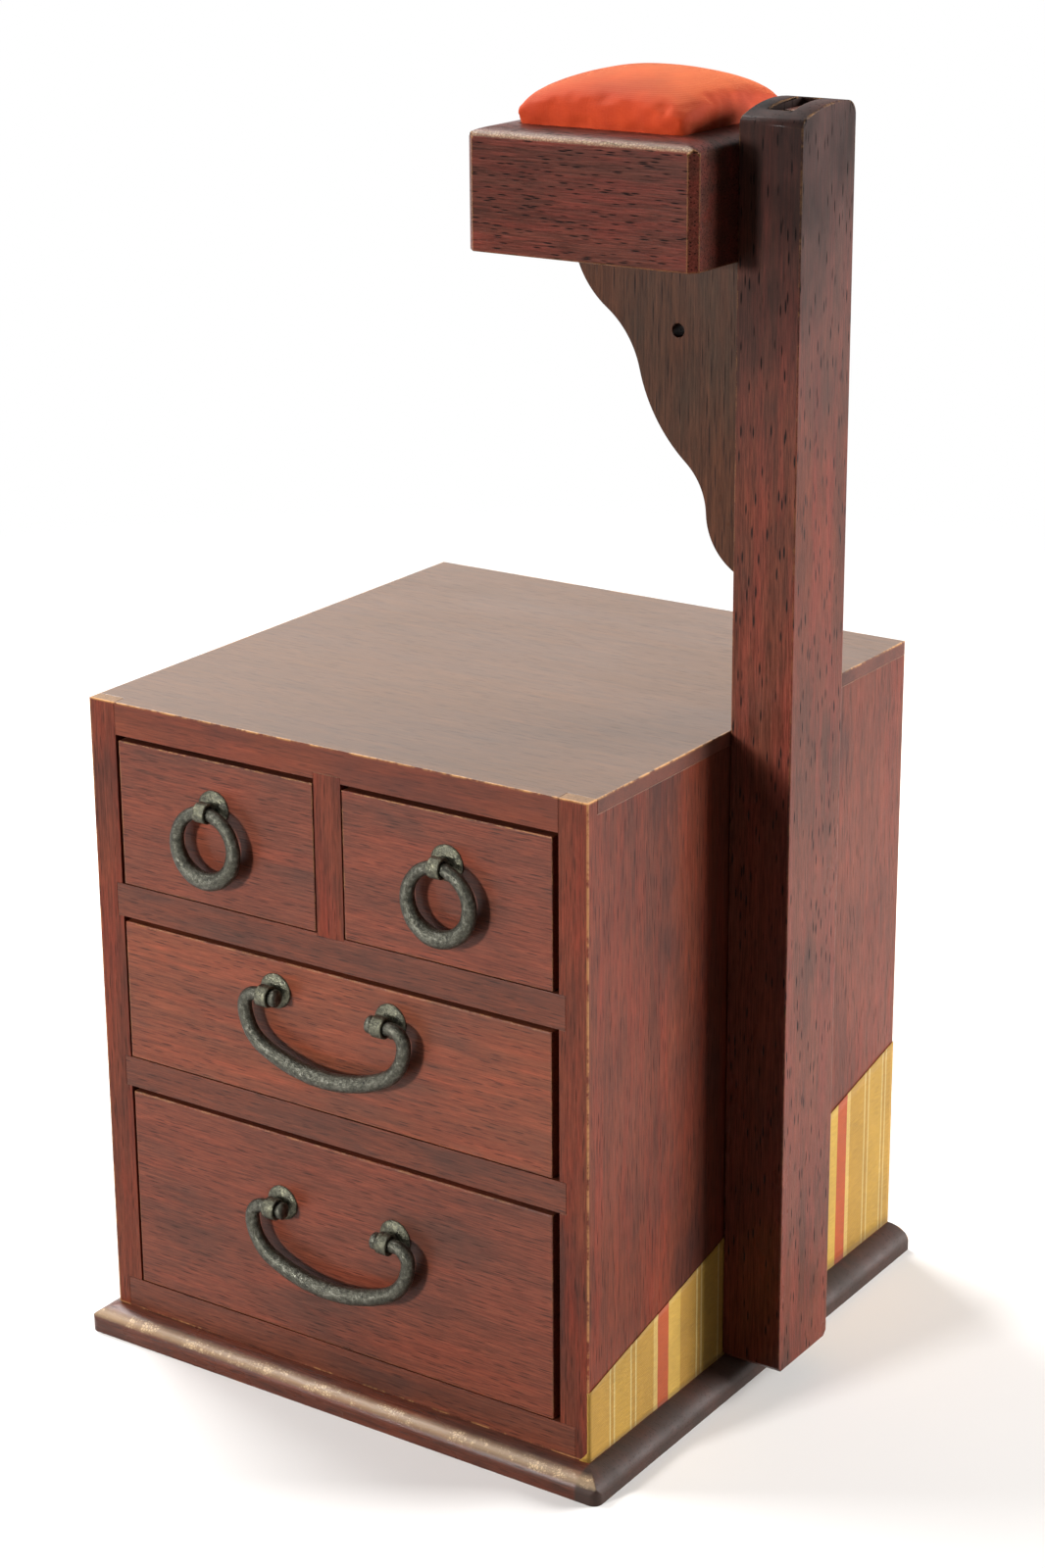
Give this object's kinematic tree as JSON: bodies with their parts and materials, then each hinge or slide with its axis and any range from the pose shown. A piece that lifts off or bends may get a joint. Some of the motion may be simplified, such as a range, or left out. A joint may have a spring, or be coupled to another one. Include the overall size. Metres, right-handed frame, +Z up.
{
  "type": "sewing box",
  "caption": "lacquered wooden needlework chest of small drawers with metal pulls, and a side post that holds up a stuffed pincushion block on a wavy arm",
  "frame": {"origin": "on the base board's underside, under the middle of the chest's width and of the board's depth", "axes": "+X to the side where the post stands, +Y to the back, +Z up"},
  "size_m": [0.252, 0.2371, 0.4885],
  "materials": {
    "lacquered_wood": "dark red-brown lacquer, worn",
    "plain_wood": "planed, unfinished",
    "pin_wood": "split pins",
    "stick_wood": "oiled",
    "patinated_brass": "dark grey-green patina",
    "steel": "drawn wire",
    "striped_cotton": "woven stripes",
    "orange_cotton": "plain weave"
  },
  "bodies": {
    "chest": {"base_board": "lacquered_wood", "left_side": "lacquered_wood", "right_side": "lacquered_wood", "top_board": "lacquered_wood", "bottom_rail": "lacquered_wood", "lower_rail": "lacquered_wood", "upper_rail": "lacquered_wood", "drawer_divider": "lacquered_wood", "floor_board": "plain_wood", "lower_shelf": "plain_wood", "upper_shelf": "plain_wood", "back_panel": "lacquered_wood", "back_pins": "pin_wood", "base_nails": "steel", "post_batten": "lacquered_wood", "batten_pegs": "pin_wood", "side_cloth": "striped_cotton"},
    "small_left_drawer": {"small_left_drawer_front": "lacquered_wood", "small_left_drawer_left_side": "plain_wood", "small_left_drawer_right_side": "plain_wood", "small_left_drawer_back": "plain_wood", "small_left_drawer_bottom": "plain_wood", "small_left_drawer_pins": "pin_wood", "small_left_ring_plate": "patinated_brass", "small_left_ring_eye": "patinated_brass"},
    "small_left_ring": {"small_left_ring": "patinated_brass"},
    "small_right_drawer": {"small_right_drawer_front": "lacquered_wood", "small_right_drawer_left_side": "plain_wood", "small_right_drawer_right_side": "plain_wood", "small_right_drawer_back": "plain_wood", "small_right_drawer_bottom": "plain_wood", "small_right_drawer_pins": "pin_wood", "small_right_ring_plate": "patinated_brass", "small_right_ring_eye": "patinated_brass"},
    "small_right_ring": {"small_right_ring": "patinated_brass"},
    "medium_drawer": {"medium_drawer_front": "lacquered_wood", "medium_drawer_left_side": "plain_wood", "medium_drawer_right_side": "plain_wood", "medium_drawer_back": "plain_wood", "medium_drawer_bottom": "plain_wood", "medium_drawer_pins": "pin_wood", "medium_bail_plates": "patinated_brass", "medium_bail_eyes": "patinated_brass"},
    "medium_bail": {"medium_bail": "patinated_brass"},
    "large_drawer": {"large_drawer_front": "lacquered_wood", "large_drawer_left_side": "plain_wood", "large_drawer_right_side": "plain_wood", "large_drawer_back": "plain_wood", "large_drawer_bottom": "plain_wood", "large_drawer_pins": "pin_wood", "large_bail_plates": "patinated_brass", "large_bail_eyes": "patinated_brass"},
    "large_bail": {"large_bail": "patinated_brass"},
    "post": {"post": "lacquered_wood", "arm_bracket": "lacquered_wood", "pincushion_block": "lacquered_wood", "block_dowels": "pin_wood", "pincushion": "orange_cotton"},
    "measuring_stick": {"measuring_stick": "stick_wood"}
  },
  "joints": [
    {"name": "small_left_drawer_slide", "type": "slide", "parent": "chest", "child": "small_left_drawer", "axis": [0, -1, 0], "range_m": [0, 0.19]},
    {"name": "small_left_ring_hinge", "type": "hinge", "parent": "small_left_drawer", "child": "small_left_ring", "pos_m": [-0.052, -0.1145, 0.2273], "axis": [-1, 0, 0], "range_deg": [-5, 170]},
    {"name": "small_right_drawer_slide", "type": "slide", "parent": "chest", "child": "small_right_drawer", "axis": [0, -1, 0], "range_m": [0, 0.19]},
    {"name": "small_right_ring_hinge", "type": "hinge", "parent": "small_right_drawer", "child": "small_right_ring", "pos_m": [0.052, -0.1145, 0.2273], "axis": [-1, 0, 0], "range_deg": [-5, 170]},
    {"name": "medium_drawer_slide", "type": "slide", "parent": "chest", "child": "medium_drawer", "axis": [0, -1, 0], "range_m": [0, 0.19]},
    {"name": "medium_bail_hinge", "type": "hinge", "parent": "medium_drawer", "child": "medium_bail", "pos_m": [0, -0.1145, 0.1616], "axis": [-1, 0, 0], "range_deg": [-5, 170]},
    {"name": "large_drawer_slide", "type": "slide", "parent": "chest", "child": "large_drawer", "axis": [0, -1, 0], "range_m": [0, 0.19]},
    {"name": "large_bail_hinge", "type": "hinge", "parent": "large_drawer", "child": "large_bail", "pos_m": [0, -0.1145, 0.076], "axis": [-1, 0, 0], "range_deg": [-5, 170]},
    {"name": "post_lift", "type": "slide", "parent": "chest", "child": "post", "axis": [0, 0, 1], "range_m": [0, 0.16]},
    {"name": "stick_lift", "type": "slide", "parent": "post", "child": "measuring_stick", "axis": [0, 0, 1], "range_m": [0, 0.29]}
  ]
}
